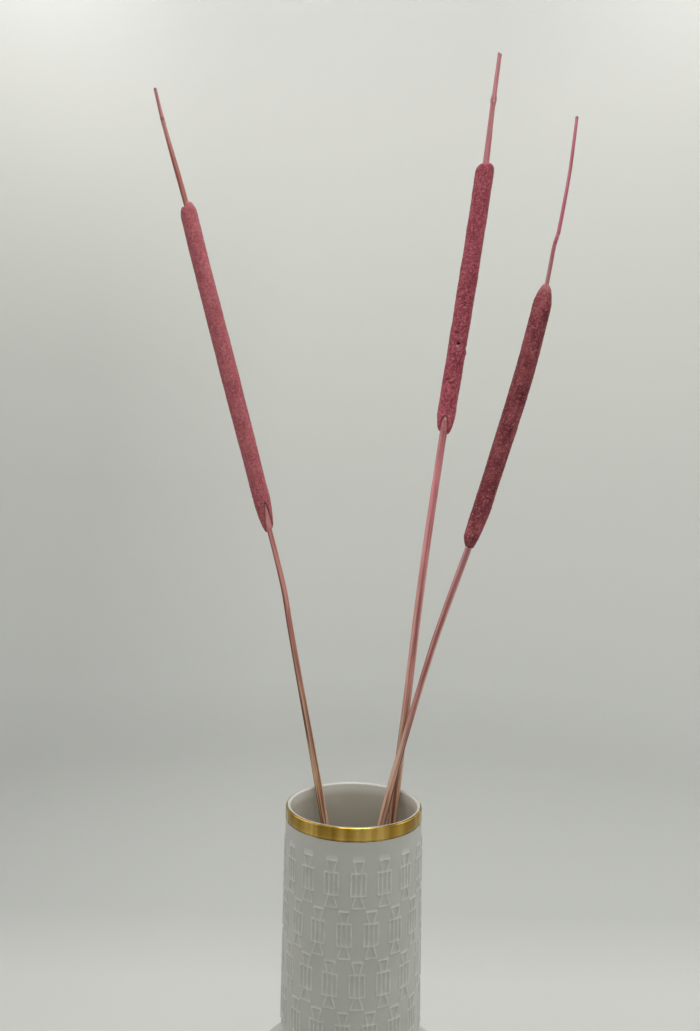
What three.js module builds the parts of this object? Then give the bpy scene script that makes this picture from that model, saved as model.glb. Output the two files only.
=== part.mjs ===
// Three dried cattails leaning in a cylinder-necked porcelain vase.
// Millimetres, +Z up. The origin is the centre of the vase's flat foot, and -Y is the front.

import * as THREE from "three";

// The vase: a straight neck on a rounded body.
const VASE_HEIGHT = 236;
const RIM_RADIUS = 36;
const NECK_ROOT_RADIUS = 36.66;
const NECK_ROOT_HEIGHT = 110;
const NECK_WALL = 2.4;
const BELLY_RADIUS = 66;
const BELLY_HEIGHT = 66;
const BODY_WALL = 3;
const FOOT_RADIUS = 46;
const FOOT_CHAMFER = 1.5;
const FLOOR_THICKNESS = 5;

// A culm's cut foot stands on the floor, lifted by the clearance and by half the tilt of its cut.
const CLEARANCE = 0.3;
const FOOT_HEIGHT = FLOOR_THICKNESS + CLEARANCE + 0.7;

// How far the swelling at the node near each tip runs up and down the culm.
const KNUCKLE_REACH = 3;

// How far the rounding of a flower head runs up from its lower end and down from its upper end.
const HEAD_BASE_ROUNDING = 20;
const HEAD_TOP_ROUNDING = 6;
const HEAD_END_LAND = 0.7;

// Facets: sides of each round section, and the spacing of rings along a culm.
const VASE_SIDES = 48;
const CULM_SIDES = 10;
const HEAD_SIDES = 16;
const RING_SPACING = 16;

// Each cattail: the route of its centre line, the radii of its culm, how much the culm swells at the
// node near its tip, and the radii of its flower head.
const cattails = {
  left: {
    route: {
      foot: [27, -22, FOOT_HEIGHT],
      lip: [-19.7, 23.9, 236],
      above: [-29.3, 32.8, 280.5],
      sway: [-38.8, 41.6, 324.1],
      bend: [-42.8, 45.5, 344],
      headBase: [-52.8, 52.6, 379.5],
      headMiddle: [-80.4, 71.2, 472.5],
      headUpper: [-105.5, 88.1, 557],
      headTop: [-116, 95.4, 593.3],
      spur: [-123.7, 100.2, 617.4],
      knuckle: [-135.4, 107.5, 654],
      tip: [-142.3, 112.3, 678.4],
    },
    culm: { foot: 2.15, lip: 2.05, headBase: 1.6, headTop: 1.85, spur: 1.8, tip: 1.15 },
    swell: 0.1,
    head: { headBase: 5, headMiddle: 5.8, headTop: 5.65 },
  },
  middle: {
    route: {
      foot: [1, -6.5, FOOT_HEIGHT],
      lip: [23.5, 20.2, 236],
      above: [29.4, 26, 286.4],
      stalk: [37.5, 33.8, 353.8],
      headBase: [49.4, 42.9, 438.6],
      headMiddle: [63.8, 53.9, 530.3],
      headTop: [75.2, 62.8, 607.5],
      spur: [79.1, 66.7, 641],
      knuckle: [80.3, 67.7, 650.4],
      tip: [84.5, 71.4, 682],
    },
    culm: { foot: 2.35, lip: 2.25, headBase: 2.25, headTop: 2, spur: 1.65, tip: 1.3 },
    swell: 0.4,
    head: { headBase: 5.35, headMiddle: 5.7, headTop: 5.8 },
  },
  right: {
    route: {
      foot: [-32, -21.5, FOOT_HEIGHT],
      belly: [-8.5, -4.5, 120],
      lip: [19.4, 14.3, 236],
      crossing: [25.2, 17.9, 256.5],
      above: [34.5, 22.9, 286.8],
      sway: [45.3, 28.9, 320.3],
      bend: [57.9, 34.8, 354.3],
      headBase: [64.6, 37.7, 372],
      headMiddle: [97.9, 55.1, 472.8],
      headUpper: [108.8, 61.9, 511.7],
      headTop: [114.6, 66, 534.5],
      spur: [117.6, 68.4, 548.5],
      knuckle: [120.1, 69.7, 561],
      kink: [122.6, 71, 568.4],
      straight: [124, 72.1, 574.5],
      bow: [131.4, 77.9, 611.9],
      tip: [137.2, 84.7, 649.7],
    },
    culm: { foot: 2.1, lip: 1.9, above: 1.8, bend: 2.05, headBase: 1.95, headTop: 1.35, tip: 1.05 },
    swell: 0.1,
    head: { headBase: 5.15, headMiddle: 6.1, headTop: 5.75 },
  },
};

const porcelain = { color: 0xe4e5e1, roughness: 0.2, metalness: 0 };
const culmFinish = { color: 0xa0625c, roughness: 0.55, metalness: 0 };
const headFinish = { left: 0x9b4651, middle: 0x96404f, right: 0x7f3f46 };

function makeMesh(name, geometry, finish) {
  const mesh = new THREE.Mesh(geometry, new THREE.MeshStandardMaterial(finish));
  mesh.name = name;
  return mesh;
}

// ---- Vase ----

// Semi-height of the ellipse that has its widest point at the belly and passes a second ring.
function ellipseRise(height, radius) {
  return Math.abs(height - BELLY_HEIGHT) / Math.sqrt(1 - (radius / BELLY_RADIUS) ** 2);
}

// Points of that ellipse, moved inwards by a wall, from one height to another.
function ellipsePoints(rise, wall, fromHeight, toHeight, steps) {
  const points = [];
  for (let step = 0; step <= steps; step += 1) {
    const height = fromHeight + ((toHeight - fromHeight) * step) / steps;
    const part = (height - BELLY_HEIGHT) / (rise - wall);
    points.push(new THREE.Vector2((BELLY_RADIUS - wall) * Math.sqrt(1 - part * part), height));
  }
  return points;
}

function vaseProfile() {
  const shoulderRise = ellipseRise(NECK_ROOT_HEIGHT, NECK_ROOT_RADIUS);
  const footRise = ellipseRise(FOOT_CHAMFER, FOOT_RADIUS);
  const boreRadius = NECK_ROOT_RADIUS - NECK_WALL;
  const boreRoot = (boreRadius / (BELLY_RADIUS - BODY_WALL)) ** 2;
  const boreRootHeight = BELLY_HEIGHT + (shoulderRise - BODY_WALL) * Math.sqrt(1 - boreRoot);
  const lipRadius = NECK_WALL / 2;

  const outside = [
    new THREE.Vector2(0, 0),
    new THREE.Vector2(FOOT_RADIUS - FOOT_CHAMFER, 0),
    ...ellipsePoints(footRise, 0, FOOT_CHAMFER, BELLY_HEIGHT, 6),
    ...ellipsePoints(shoulderRise, 0, BELLY_HEIGHT, NECK_ROOT_HEIGHT, 7).slice(1),
  ];
  const lip = new THREE.Path();
  lip.absarc(RIM_RADIUS - lipRadius, VASE_HEIGHT - lipRadius, lipRadius, 0, Math.PI, false);
  const inside = [
    ...ellipsePoints(shoulderRise, BODY_WALL, boreRootHeight, BELLY_HEIGHT, 6),
    ...ellipsePoints(footRise, BODY_WALL, BELLY_HEIGHT, FLOOR_THICKNESS + 3, 4).slice(1),
  ];
  const floorEdge = inside[inside.length - 1].x - 3;
  return [
    ...outside,
    ...lip.getPoints(6),
    ...inside,
    new THREE.Vector2(floorEdge, FLOOR_THICKNESS),
    new THREE.Vector2(0, FLOOR_THICKNESS),
  ];
}

function makeVase() {
  const geometry = new THREE.LatheGeometry(vaseProfile(), VASE_SIDES);
  geometry.rotateX(Math.PI / 2);
  return makeMesh("vase", geometry, porcelain);
}

// ---- Cattails ----

// A smooth centre line through a route, with the distance along it of each named station.
function makeCentreLine(route) {
  const names = Object.keys(route);
  const points = names.map((name) => new THREE.Vector3(...route[name]));
  const curve = new THREE.CatmullRomCurve3(points, false, "centripetal");
  const perSpan = 20;
  const lengths = curve.getLengths((names.length - 1) * perSpan);
  const stations = {};
  names.forEach((name, index) => {
    stations[name] = lengths[index * perSpan];
  });
  return { curve, stations, length: lengths[lengths.length - 1] };
}

// Straight-line interpolation between named radii, over distance along the centre line.
function radiusBetween(radii, stations, distance) {
  const names = Object.keys(radii);
  let index = 1;
  while (index < names.length - 1 && stations[names[index]] < distance) {
    index += 1;
  }
  const from = stations[names[index - 1]];
  const to = stations[names[index]];
  const part = THREE.MathUtils.clamp((distance - from) / (to - from), 0, 1);
  return THREE.MathUtils.lerp(radii[names[index - 1]], radii[names[index]], part);
}

// Evenly spaced distances from one end of a stretch to the other.
function ringDistances(from, to, spacing) {
  const steps = Math.max(1, Math.round((to - from) / spacing));
  return Array.from({ length: steps + 1 }, (_, step) => from + ((to - from) * step) / steps);
}

// Turns a lathe about +Y, whose height is distance along the line, into a rod along that line.
function bendAlong(geometry, line) {
  const position = geometry.attributes.position;
  for (let index = 0; index < position.count; index += 1) {
    const part = THREE.MathUtils.clamp(position.getY(index) / line.length, 0, 1);
    const centre = line.curve.getPointAt(part);
    const along = line.curve.getTangentAt(part);
    const across = new THREE.Vector3(0, 1, 0).cross(along).normalize();
    const back = along.clone().cross(across);
    const corner = centre
      .addScaledVector(across, position.getX(index))
      .addScaledVector(back, -position.getZ(index));
    position.setXYZ(index, corner.x, corner.y, corner.z);
  }
  geometry.computeVertexNormals();
  return geometry;
}

function makeCulm(name, line, culm, swell) {
  const { knuckle } = line.stations;
  const radiusAt = (distance) => {
    const offset = Math.min(1, Math.abs(distance - knuckle) / KNUCKLE_REACH);
    return radiusBetween(culm, line.stations, distance) + swell * (1 - offset);
  };
  const ends = Object.values(line.stations);
  const distances = ends.slice(1).flatMap((end, index) =>
    ringDistances(ends[index], end, RING_SPACING).slice(1)
  );
  distances.push(0, knuckle - KNUCKLE_REACH, knuckle + KNUCKLE_REACH);
  distances.sort((first, second) => first - second);
  const profile = [
    new THREE.Vector2(0, 0),
    ...distances.map((distance) => new THREE.Vector2(radiusAt(distance), distance)),
    new THREE.Vector2(0, line.length),
  ];
  const geometry = new THREE.LatheGeometry(profile, CULM_SIDES);
  return makeMesh(name, bendAlong(geometry, line), culmFinish);
}

// A flower head is a sleeve round the culm, rounded at both ends.
function makeHead(name, line, culm, head, color) {
  const { headBase, headTop } = line.stations;
  const boreAt = (distance) => radiusBetween(culm, line.stations, distance) + CLEARANCE;
  const radiusAt = (distance) => {
    const up = Math.min(1, (distance - headBase) / HEAD_BASE_ROUNDING);
    const down = Math.min(1, (headTop - distance) / HEAD_TOP_ROUNDING);
    const rounding = Math.sqrt(1 - (1 - up) ** 2) * Math.sqrt(1 - (1 - down) ** 2);
    const land = boreAt(distance) + HEAD_END_LAND;
    return THREE.MathUtils.lerp(land, radiusBetween(head, line.stations, distance), rounding);
  };
  const outside = [
    ...ringDistances(headBase, headBase + HEAD_BASE_ROUNDING, HEAD_BASE_ROUNDING / 5),
    ...ringDistances(headBase + 2 * HEAD_BASE_ROUNDING, headTop - 2 * HEAD_TOP_ROUNDING, RING_SPACING),
    ...ringDistances(headTop - HEAD_TOP_ROUNDING, headTop, HEAD_TOP_ROUNDING / 4),
  ];
  const inside = ringDistances(headTop, headBase, -RING_SPACING);
  const profile = [
    ...outside.map((distance) => new THREE.Vector2(radiusAt(distance), distance)),
    ...inside.map((distance) => new THREE.Vector2(boreAt(distance), distance)),
  ];
  profile.push(profile[0].clone());
  const geometry = new THREE.LatheGeometry(profile, HEAD_SIDES);
  return makeMesh(name, bendAlong(geometry, line), { color, roughness: 0.95, metalness: 0 });
}

// ---- The whole object ----

const object = new THREE.Group();
object.add(makeVase());
for (const [side, { route, culm, swell, head }] of Object.entries(cattails)) {
  const line = makeCentreLine(route);
  object.add(makeCulm(`stem_${side}`, line, culm, swell));
  object.add(makeHead(`head_${side}`, line, culm, head, headFinish[side]));
}

export default object;
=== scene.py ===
"""Three dried cattails in a cylinder-necked porcelain vase with a gilded rim.

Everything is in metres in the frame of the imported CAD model: +Z is up, the vase's foot stands on
z = 0 and its front faces -Y. Angles round the vase run from the front towards +X. Angles round a
culm run from +X, so its front is at -90 degrees.
"""

import math
from typing import NamedTuple, Sequence

import bpy
import numpy as np
from mathutils import Matrix, Vector


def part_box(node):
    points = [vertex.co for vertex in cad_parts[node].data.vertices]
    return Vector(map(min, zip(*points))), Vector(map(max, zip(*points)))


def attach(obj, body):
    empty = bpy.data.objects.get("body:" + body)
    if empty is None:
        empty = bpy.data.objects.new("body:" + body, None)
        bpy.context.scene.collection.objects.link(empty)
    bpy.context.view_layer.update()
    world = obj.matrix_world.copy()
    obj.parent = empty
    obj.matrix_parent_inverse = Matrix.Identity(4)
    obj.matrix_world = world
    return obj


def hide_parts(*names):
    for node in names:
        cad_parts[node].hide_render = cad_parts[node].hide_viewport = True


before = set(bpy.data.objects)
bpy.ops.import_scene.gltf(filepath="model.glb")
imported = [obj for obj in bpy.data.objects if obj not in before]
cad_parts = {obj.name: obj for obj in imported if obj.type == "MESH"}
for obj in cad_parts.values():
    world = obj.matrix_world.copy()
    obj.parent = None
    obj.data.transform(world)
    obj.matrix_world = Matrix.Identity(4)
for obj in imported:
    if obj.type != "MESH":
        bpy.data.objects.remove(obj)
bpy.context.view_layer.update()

MM = 0.001

# ---- the vase

_, VASE_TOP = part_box("vase")
RIM_HEIGHT = VASE_TOP.z
BELLY_RADIUS = VASE_TOP.x
BELLY_HEIGHT = 66 * MM
NECK_ROOT_RADIUS = 36.66 * MM
NECK_ROOT_HEIGHT = 110 * MM
RIM_RADIUS = 36 * MM
LIP_RADIUS = 1.2 * MM
BODY_WALL = 3 * MM
FOOT_RADIUS = 46 * MM
FOOT_CHAMFER = 1.5 * MM
FLOOR_THICKNESS = 5 * MM

# The relief: tiers of spools in upright frames, each tier half a step round from the last. Sizes
# along a motif run down from its top, and sizes across it run from its centre line.
MOTIFS = 17
MOTIF_COLUMNS = 20
HALF_PITCH = math.pi * NECK_ROOT_RADIUS / MOTIFS
FIRST_MOTIF = math.radians(4)
TIERS = 4
FIRST_TIER = 16.2 * MM
TIER_PITCH = 24.4 * MM
SPOOL_HEIGHT = 22.6 * MM
SPOOL_FLARE = 5.5 * MM
SPOOL_TOP = 2.65 * MM
SPOOL_WAIST = 1.25 * MM
SPOOL_BOTTOM = 3.1 * MM
FRAME_TOP = 5.95 * MM
FRAME_BOTTOM = 16.75 * MM
FRAME_HALF_WIDTH = 3.6 * MM
FRAME_GAP = 1.3 * MM
LINE_CREST = 0.18 * MM
LINE_FOOT = 0.5 * MM
LINE_HEIGHT = 0.42 * MM
LINE_EDGES = np.array([-LINE_FOOT, -LINE_CREST, LINE_CREST, LINE_FOOT])

GILT_SIDES = 240
GILT_DEPTH = 6.9 * MM
GILT_PROUD = 0.05 * MM
GILT_SUNK = 0.15 * MM
GILT_WAVE = 0.09 * MM
GILT_LAP = 0.05 * MM
GILT_SEAM = math.radians(69)
GILT_STEP = math.radians(0.8)
GILT_LAPPED = math.radians(14)
GILT_FADE = math.radians(9)
GILT_TURN = math.radians(78)

# ---- the cattails

RING_GAP = 0.8 * MM  # the least height between a CAD culm's rings
CULM_SIDES = 40
CULM_STEP = 1.5 * MM
CULM_INSET = 0.15 * MM
CULM_SUNK = 0.05 * MM  # below the CAD's radius
RIBS_AT_FOOT = 0.23 * MM
RIBS_AT_TIP = 0.05 * MM
MOUTH_HEIGHT = RIM_HEIGHT - 8 * MM  # where a culm's flare is widest
FLARE_REACH = 28 * MM
SWELL_REACH = 2.8 * MM
SLANT_REACH = 6 * MM
TIP_STAIN_REACH = 1.5 * MM
NODE_ROWS = np.arange(-4, 12, 0.4) * MM  # extra rings, from the node

HEAD_SIDES = 84
HEAD_STEP = 0.42 * MM
HEAD_WALL = 1.5 * MM  # a CAD head is at its full radius where its wall is thicker
HEAD_BASE_LENGTH = 24 * MM
HEAD_TOP_LENGTH = 8 * MM
HEAD_HIDDEN = 0.15 * MM  # how deep a head's ends lie in its culm
BORE_HIDDEN = 0.25 * MM  # how deep its bore lies
BORE_RINGS = 30
LUMP_SIZE = 5 * MM
GRAIN_SIZE = 1 * MM
SHIFT_REACH = 36 * MM
NOTCH_BLUR = 0.45 * MM
FAR = 9 * MM  # well clear of a notch
DOWN_TUFTS = 25000
DOWN_LENGTH = 0.42 * MM
DOWN_WIDTH = 0.17 * MM
SLEEVE_SUNK = 0.6 * DOWN_LENGTH  # below the CAD's radius
DOWN_SWAY = 0.12 * MM
DOWN_ROOT = 0.03 * MM
DOWN_END_GAP = 0.6 * MM
DOWN_STEP_LIMIT = 0.5 * MM
FLUSH = (1.25, 1.3, 1.28, 1)  # brightens a head's ends

# Cut ends as (share of the radius, distance past the last full ring), from the rim inwards.
FLAT_CUT = ((1, 0), (0.9, 0.04 * MM), (0.72, -0.05 * MM), (0.35, -0.12 * MM))
HOLLOW_CUT = ((1, 0), (0.86, 0.03 * MM), (0.7, -0.5 * MM), (0.5, -1.1 * MM), (0.25, -1.3 * MM))
ROUND_END = ((1, 0), (0.93, 0.35 * MM), (0.74, 0.65 * MM), (0.42, 0.82 * MM))


class Mark(NamedTuple):
    """A dent, or a bump where its depth is below 0, with darkening over it (a real stain at some marks,
    painted shade in pits and creases at others) or a painted highlight, its shine.
    """

    place: float  # on a culm, the length above its node; on a head, the height
    angle: float
    size: float
    depth: float = 0
    stretch: float = 1
    stain_and_shade: float = 0
    shine: float = 0


class Straw(NamedTuple):
    """What sets one culm apart: its tip, its swelling at the node and the mouth, and its marks."""

    tip: tuple
    tip_stain: float
    slant: tuple = (0, 0)
    swell: float = 0
    flare: float = 0
    marks: Sequence = ()


class End(NamedTuple):
    """One end of a flower head: how it is rounded, tilted and coloured."""

    length: float
    power: float
    radius: float
    tilt: float
    skew: float = 0
    shift: float = 0
    ring: float = 0
    pale: float = 0
    pale_length: float = 8 * MM
    flush: float = 1 * MM


class Notch(NamedTuple):
    """A slit in one end of a flower head, through which the culm shows."""

    end: str
    angle: float
    length: float
    half_width: float
    taper: float
    depth: float
    # How dark the slit's edge is painted, as shade where the velvet steps down to the culm.
    edge: float


class Spike(NamedTuple):
    """What sets one flower head apart: its ends, roughness, marks and notches."""

    base: End
    top: End
    lumps: float
    grain: float
    marks: Sequence = ()
    notches: Sequence = ()


# ---- the camera, the stage and the room

CAMERA_PLACE = (-4.7 * MM, -427.2 * MM, RIM_HEIGHT + 147.4 * MM)
CAMERA_PITCH = math.radians(0.73)
CAMERA_ROLL = math.radians(1.0)
CAMERA_LENS = 27.9
CAMERA_SENSOR = 36

STAGE_FLOOR = 0.95
STAGE_WALL = 1.4
STAGE_HEIGHT = 2.4
STAGE_SIDES = 128
ROOM_COLOUR = (1, 1, 0.98, 1)
ROOM_LIGHT = 0.2


def srgb(red, green, blue):
    """A colour in 0-255 display values, as the linear RGBA that shaders take."""
    channels = np.array([red, green, blue]) / 255
    linear = np.where(channels <= 0.04045, channels / 12.92, ((channels + 0.055) / 1.055) ** 2.4)
    return (*linear.tolist(), 1)


def smoothstep(value):
    value = np.clip(value, 0, 1)
    return value * value * (3 - 2 * value)


def once_round(count):
    """Evenly spaced angles that go round once."""
    return np.linspace(0, 2 * math.pi, count, endpoint=False)


# ---- repeatable noise


# Large odd numbers that scatter the bits of a lattice cell's place and of a seed.
SCATTER_CELL = np.array([73856093, 19349663, 83492791])
SCATTER_SEED = 2654435761
SCATTER_BITS = 2246822519


def lattice(cells, seed):
    """A fixed random number from 0 to 1 for each cell of a cubic lattice."""
    number = np.bitwise_xor.reduce(cells * SCATTER_CELL, axis=-1)
    number = (number ^ seed * SCATTER_SEED) & 0xFFFFFFFF
    for _ in range(2):
        number = (number ^ number >> 15) * SCATTER_BITS & 0xFFFFFFFF
    return (number ^ number >> 13 & 0xFFFF) % 65536 / 65535


def noise(points, size, seed):
    """Smooth noise from -1 to 1 whose lumps are about `size` across."""
    scaled = points / size
    cells = np.floor(scaled).astype(np.int64)
    part = scaled - cells
    part = part * part * (3 - 2 * part)
    total = 0
    for corner in np.ndindex(2, 2, 2):
        weight = np.prod(np.where(corner, part, 1 - part), axis=-1)
        total = total + weight * lattice(cells + corner, seed)
    return total * 2 - 1


def grains(points, size, seed):
    """Domes from 0 to 1 packed as irregularly as grains, about `size` across."""
    scaled = points / size
    cells = np.floor(scaled).astype(np.int64)
    nearest = np.full(points.shape[:-1], 9.0)
    for corner in np.ndindex(3, 3, 3):
        cell = cells + corner - 1
        centre = cell + np.stack([lattice(cell, seed + axis) for axis in range(3)], -1)
        nearest = np.minimum(nearest, ((scaled - centre) ** 2).sum(-1))
    return np.clip(1 - nearest * 1.6, 0, 1)


# ---- meshes


def ring_faces(rows, columns, closed=False):
    """Quads between rows of points round a ring, and from the last row to the first if closed."""
    bands = rows if closed else rows - 1
    row, column = np.meshgrid(np.arange(bands), np.arange(columns), indexing="ij")
    above = (row + 1) % rows * columns
    row = row * columns
    beside = (column + 1) % columns
    corners = [row + column, row + beside, above + beside, above + column]
    return np.stack(corners, -1).reshape(-1, 4).tolist()


def end_faces(first, columns, centre, top):
    """Triangles joining a ring of points to the point at its centre."""
    fan = []
    for column in range(columns):
        pair = [first + column, first + (column + 1) % columns]
        fan.append([*pair, centre] if top else [*reversed(pair), centre])
    return fan


def rod_faces(rows, columns):
    """The faces of a closed rod, whose rings are followed by the centres of its two ends."""
    last = (rows - 1) * columns
    faces = ring_faces(rows, columns)
    faces += end_faces(0, columns, rows * columns, top=False)
    faces += end_faces(last, columns, rows * columns + 1, top=True)
    return faces


def add_object(name, data):
    """A new object in the scene, for a mesh, a lamp or a camera."""
    added = bpy.data.objects.new(name, data)
    bpy.context.scene.collection.objects.link(added)
    return added


def add_mesh(name, points, faces, material):
    """A smooth mesh object of one material."""
    mesh = bpy.data.meshes.new(name)
    mesh.from_pydata(points.reshape(-1, 3).tolist(), [], faces)
    mesh.shade_smooth()
    mesh.materials.append(material)
    return add_object(name, mesh)


def add_piece(name, points, faces, material, replaced=None, attributes=None):
    """A mesh that rides on the vase's body, with values at its points for its material."""
    piece = add_mesh(name, points, faces, material)
    for key, values in (attributes or {}).items():
        kind, field = ("FLOAT_VECTOR", "vector") if values.ndim == 2 else ("FLOAT", "value")
        layer = piece.data.attributes.new(key, kind, "POINT")
        layer.data.foreach_set(field, values.astype(np.float32).ravel())
    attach(piece, "root")
    if replaced:
        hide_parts(replaced)


# ---- materials


class Material:
    """A material under construction: a Principled shader and short ways to feed it."""

    def __init__(self, name, **values):
        self.made = bpy.data.materials.new(name)
        self.made.use_nodes = True
        self.tree = self.made.node_tree
        self.shader = self.tree.nodes["Principled BSDF"]
        self.set(**values)

    def add(self, kind, inputs, output=0, **settings):
        """A node with its settings and inputs, given as values or as other nodes' outputs."""
        node = self.tree.nodes.new(kind)
        for key, value in settings.items():
            setattr(node, key, value)
        for key, value in inputs.items():
            self.feed(node.inputs[key], value)
        return node.outputs[output]

    def feed(self, socket, value):
        if isinstance(value, bpy.types.NodeSocket):
            self.tree.links.new(value, socket)
        else:
            socket.default_value = value

    def set(self, **inputs):
        """Feeds the shader's inputs, whose names are given with _ for each space."""
        for key, value in inputs.items():
            self.feed(self.shader.inputs[key.replace("_", " ")], value)

    def place(self):
        return self.add("ShaderNodeTexCoord", {}, "Object")

    def attribute(self, name, output="Fac"):
        return self.add("ShaderNodeAttribute", {}, output, attribute_name=name)

    def stretched(self, vector, factors):
        return self.add("ShaderNodeVectorMath", {0: vector, 1: factors}, operation="MULTIPLY")

    def noise(self, vector, size, detail=3, roughness=0.5):
        inputs = {"Vector": vector, "Scale": 1 / size, "Detail": detail, "Roughness": roughness}
        return self.add("ShaderNodeTexNoise", inputs, "Fac")

    def cells(self, vector, size):
        """A random brightness for each irregular cell of about this size."""
        colour = self.add("ShaderNodeTexVoronoi", {"Vector": vector, "Scale": 1 / size}, "Color")
        return self.add("ShaderNodeSeparateColor", {0: colour})

    def axis(self, vector, axis):
        return self.add("ShaderNodeSeparateXYZ", {0: vector}, "XYZ".index(axis))

    def remap(self, value, low, high, to_low=0.0, to_high=1.0):
        inputs = {"Value": value, "From Min": low, "From Max": high, "To Min": to_low, "To Max": to_high}
        return self.add("ShaderNodeMapRange", inputs)

    def math(self, operation, first, second):
        return self.add("ShaderNodeMath", {0: first, 1: second}, operation=operation)

    def times(self, first, second):
        return self.math("MULTIPLY", first, second)

    def mix(self, factor, first, second, blend="MIX"):
        inputs = {"Factor": factor, 6: first, 7: second}
        return self.add("ShaderNodeMix", inputs, 2, data_type="RGBA", blend_type=blend)

    def ramp(self, value, stops):
        """A colour for each value, from (value, colour) stops."""
        node = self.tree.nodes.new("ShaderNodeValToRGB")
        self.tree.links.new(value, node.inputs[0])
        elements = node.color_ramp.elements
        while len(elements) < len(stops):
            elements.new(1)
        for element, (position, colour) in zip(elements, stops):
            element.position, element.color = position, colour
        return node.outputs[0]

    def bump(self, height, distance, normal=None):
        inputs = {"Height": height, "Distance": distance}
        if normal:
            inputs["Normal"] = normal
        return self.add("ShaderNodeBump", inputs)


def porcelain_material():
    """A satin glaze, warmer and glossier inside the mouth, with painted light that makes the inside
    lighter than the outside and lightest towards the lip, over clay that is bare under the foot.
    """
    m = Material("porcelain", IOR=1.5, Coat_Weight=0.12, Coat_Roughness=0.12)
    place = m.place()
    height = m.axis(place, "Z")
    inside = m.attribute("inside")
    cloud = m.noise(place, 28 * MM, detail=4)
    colour = m.ramp(cloud, [(0.3, srgb(184, 185, 180)), (0.7, srgb(193, 193, 188))])
    # The raised lines are lightened: partly thinner glaze on them, partly a painted highlight.
    thin_glaze_and_highlight = m.remap(m.noise(place, 3.5 * MM), 0.35, 0.6, 0.25, 0.75)
    colour = m.mix(m.times(m.attribute("crest"), thin_glaze_and_highlight), colour, srgb(222, 222, 217))
    # Painted light: the glaze inside the mouth is lighter than outside, and lightest towards the lip.
    lip = m.remap(height, RIM_HEIGHT - 7 * MM, RIM_HEIGHT - 3 * MM)
    colour = m.mix(inside, colour, m.mix(lip, srgb(205, 201, 189), srgb(232, 231, 224)))
    fine = m.noise(place, 0.7 * MM, detail=2)
    colour = m.mix(m.remap(fine, 0.68, 0.8), colour, srgb(192, 192, 183))
    bare = m.remap(height, 1.6 * MM, 0.9 * MM)
    colour = m.mix(bare, colour, srgb(196, 190, 178))
    glaze = m.remap(m.noise(place, 9 * MM), 0.3, 0.7, 0.3, 0.38)
    glaze = m.math("SUBTRACT", glaze, m.times(inside, 0.16))
    roughness = m.math("MAXIMUM", glaze, m.times(bare, 0.7))
    normal = m.bump(m.noise(place, 4 * MM), 0.03 * MM)
    normal = m.bump(fine, 0.006 * MM, normal)
    m.set(Base_Color=colour, Roughness=roughness, Normal=normal)
    return m.made


def gilding_material():
    """Burnished gold whose tone changes in upright bands round the rim, partly uneven gilding and partly
    painted reflections.
    """
    m = Material("gilding", Metallic=1.0, Specular_IOR_Level=0.5)
    place = m.place()
    round_rim = m.stretched(place, (1, 1, 0.04))
    # Upright bands: partly uneven gilding, partly painted reflections of the room in the gold.
    gilt_and_reflection_band = m.noise(round_rim, 9 * MM, detail=2, roughness=0.55)
    colour = m.ramp(gilt_and_reflection_band, [
        (0.36, srgb(149, 116, 47)), (0.5, srgb(180, 145, 65)), (0.62, srgb(212, 178, 102))])
    brushed = m.noise(m.stretched(place, (1, 1, 5)), 2.2 * MM, detail=4)
    roughness = m.remap(gilt_and_reflection_band, 0.35, 0.65, 0.2, 0.3)
    normal = m.bump(m.noise(round_rim, 6 * MM, detail=1), 0.16 * MM)
    normal = m.bump(brushed, 0.004 * MM, normal)
    m.set(Base_Color=colour, Roughness=roughness, Normal=normal)
    return m.made


def culm_material(name, stops, dark):
    """Dry straw with lengthwise streaks, lightened on its ridges partly as painted highlight and
    darkened in its grooves partly as painted shade.

    Each of the stops is a share of the culm's height, then the display colour there.
    """
    m = Material(name, Specular_IOR_Level=0.4, Sheen_Weight=0.05, Sheen_Roughness=0.5)
    section = m.attribute("section", "Vector")
    rise = m.attribute("rise")
    colour = m.ramp(rise, [(share, srgb(*display)) for share, *display in stops])
    fibre = m.noise(m.stretched(section, (1, 1, 0.012)), 0.8 * MM, detail=3, roughness=0.65)
    ridge = m.math("ADD", m.times(m.attribute("rib"), 0.4), m.times(fibre, 0.6))
    strength = m.remap(rise, 0.38, 0.6, 1.0, 0.35)
    # crest paints a highlight on the ridges and groove paints shade in the grooves, over the straw's own
    # streaks.
    crest = m.times(strength, m.remap(ridge, 0.52, 0.58, 0, 0.75))
    groove = m.times(strength, m.remap(ridge, 0.47, 0.42, 0, 0.85))
    pale = m.mix(0.6, colour, srgb(246, 214, 190))
    deep = m.mix(1.0, colour, srgb(128, 88, 76), "MULTIPLY")
    colour = m.mix(crest, colour, pale)
    colour = m.mix(groove, colour, deep)
    patch = m.noise(m.stretched(section, (1, 1, 0.1)), 2.2 * MM, detail=3)
    shade = m.mix(1.0, colour, srgb(204, 170, 160), "MULTIPLY")
    colour = m.mix(m.remap(patch, 0.45, 0.72, 0, 0.45), colour, shade)
    # shine paints highlights; stain_and_shade darkens real stains and paints shade in pits and creases.
    colour = m.mix(m.attribute("shine"), colour, srgb(250, 226, 216))
    colour = m.mix(m.attribute("stain_and_shade"), colour, dark)
    roughness = m.remap(fibre, 0.3, 0.7, 0.4, 0.6)
    m.set(Base_Color=colour, Roughness=roughness, Normal=m.bump(fibre, 0.06 * MM))
    return m.made


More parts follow.
